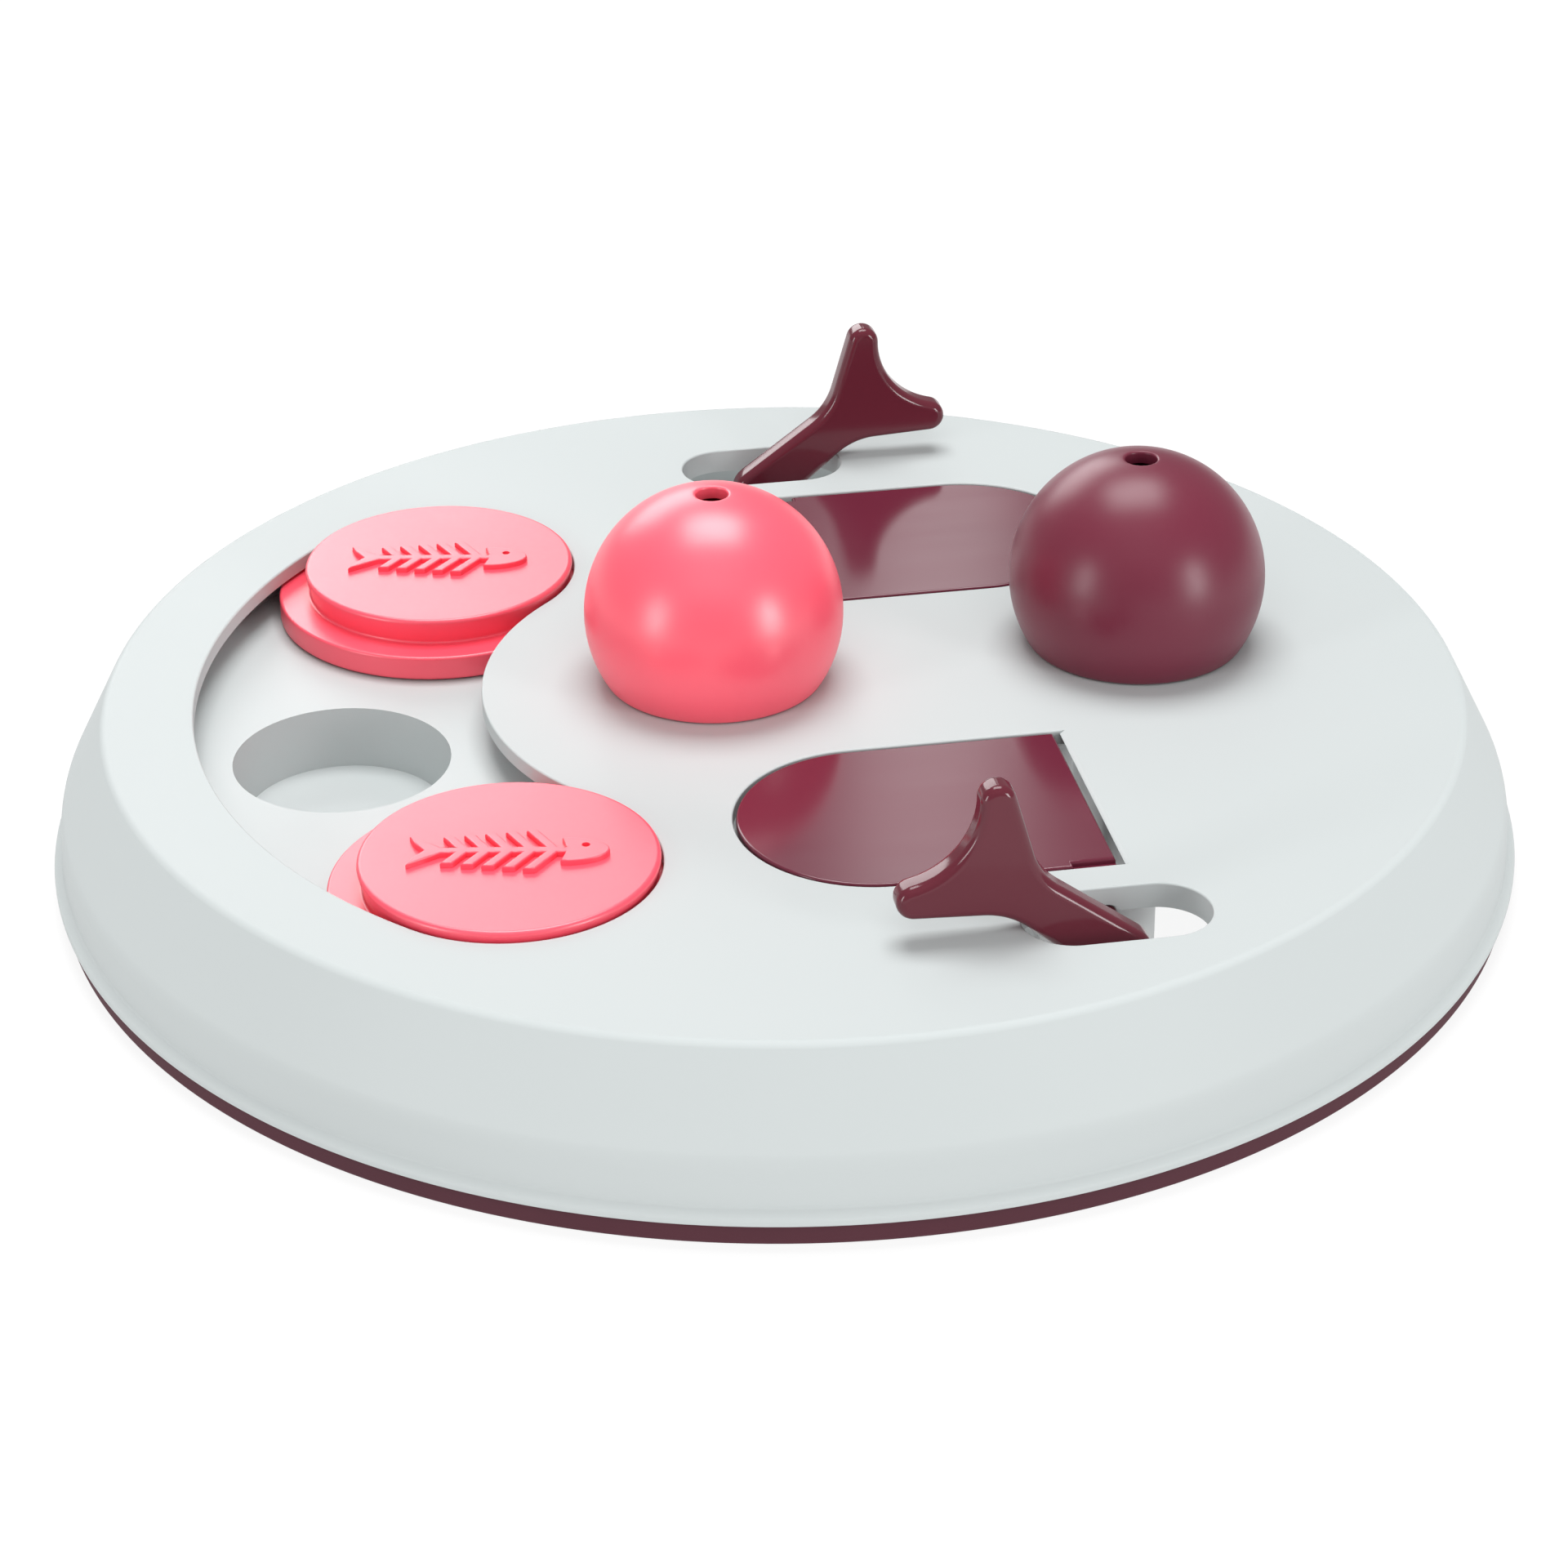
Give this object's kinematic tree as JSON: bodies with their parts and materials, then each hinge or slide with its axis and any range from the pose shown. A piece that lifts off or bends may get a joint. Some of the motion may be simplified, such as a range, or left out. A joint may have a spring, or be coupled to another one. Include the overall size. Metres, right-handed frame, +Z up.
{
  "type": "cat activity board",
  "caption": "Round cat activity board with discs that slide over treat hollows, lids flipped open by fishtail levers, and hollow domes that lift off treat cups.",
  "frame": {"origin": "middle of the board's footprint on the table", "axes": "+Z up; X along the lids and slots, with the sliding track towards -X; Y along the lid axles, with the back flip unit towards +Y"},
  "size_m": [0.23, 0.23, 0.0585],
  "materials": {
    "white_plastic": "fine satin moulded surface",
    "dark_rubber": "matt, grips the table",
    "burgundy_gloss": "polished moulded surface",
    "pink_plastic": "satin moulded surface",
    "pink_satin": "soft satin",
    "burgundy_satin": "soft satin",
    "steel": "plain"
  },
  "bodies": {
    "board": {"top_shell": "white_plastic", "track_tray": "white_plastic", "front_treat_tray": "white_plastic", "back_treat_tray": "white_plastic", "pink_dome_cup": "white_plastic", "burgundy_dome_cup": "white_plastic", "non_slip_ring": "dark_rubber", "track_tray_screws": "steel", "front_tray_screws": "steel", "back_tray_screws": "steel", "dome_cup_screws": "steel"},
    "front_flip": {"front_lid": "burgundy_gloss", "front_axle": "burgundy_gloss", "front_lever": "burgundy_gloss"},
    "back_flip": {"back_lid": "burgundy_gloss", "back_axle": "burgundy_gloss", "back_lever": "burgundy_gloss"},
    "front_disc": {"front_sliding_disc": "pink_plastic"},
    "back_disc": {"back_sliding_disc": "pink_plastic"},
    "pink_dome_body": {"pink_dome": "pink_satin"},
    "burgundy_dome_body": {"burgundy_dome": "burgundy_satin"}
  },
  "joints": [
    {"name": "front_flip_hinge", "type": "hinge", "parent": "board", "child": "front_flip", "pos_m": [0.034, -0.04565, 0.0219], "axis": [0, 1, 0], "range_deg": [0, 74]},
    {"name": "back_flip_hinge", "type": "hinge", "parent": "board", "child": "back_flip", "pos_m": [0.01, 0.04565, 0.0219], "axis": [0, -1, 0], "range_deg": [0, 74]},
    {"name": "front_disc_track", "type": "hinge", "parent": "board", "child": "front_disc", "pos_m": [0, 0, 0.0199], "axis": [0, 0, -1], "range_deg": [0, 22]},
    {"name": "back_disc_track", "type": "hinge", "parent": "board", "child": "back_disc", "pos_m": [0, 0, 0.0199], "axis": [0, 0, 1], "range_deg": [0, 22]},
    {"name": "pink_dome_lift", "type": "slide", "parent": "board", "child": "pink_dome_body", "axis": [0, 0, 1], "range_m": [0, 0.06]},
    {"name": "burgundy_dome_lift", "type": "slide", "parent": "board", "child": "burgundy_dome_body", "axis": [0, 0, 1], "range_m": [0, 0.06]}
  ]
}
